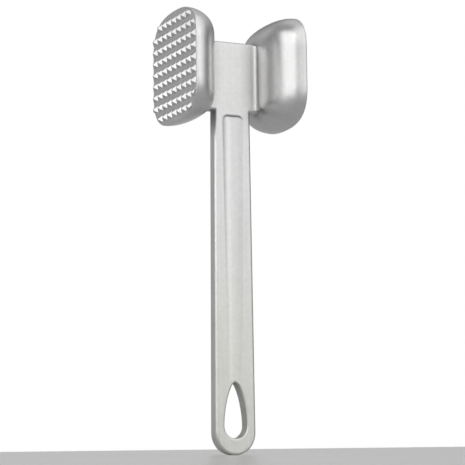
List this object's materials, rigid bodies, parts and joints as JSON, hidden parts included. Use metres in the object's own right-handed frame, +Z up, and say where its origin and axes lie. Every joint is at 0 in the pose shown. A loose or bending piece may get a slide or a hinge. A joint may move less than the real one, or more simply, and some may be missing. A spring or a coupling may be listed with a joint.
{
  "type": "meat tenderizer",
  "caption": "Cast meat tenderizer with a toothed face, a smooth face, a domed lobe behind each, and a flat tapering handle with thumb grooves and a teardrop hanging hole.",
  "frame": {"origin": "under the middle of the head and the bar, level with the lowest point of the handle's rounded end", "axes": "+Z up the handle to the head, +X out of the smooth face, with the toothed face on -X, and Y across the thin direction of the bar"},
  "size_m": [0.0668, 0.058, 0.237],
  "materials": {
    "cast_body": "satin, tumbled casting",
    "striking_plates": "satin, with a fine cast grain"
  },
  "bodies": {
    "root": {"casting": "cast_body", "smooth_plate": "striking_plates", "toothed_plate": "striking_plates"}
  },
  "joints": []
}
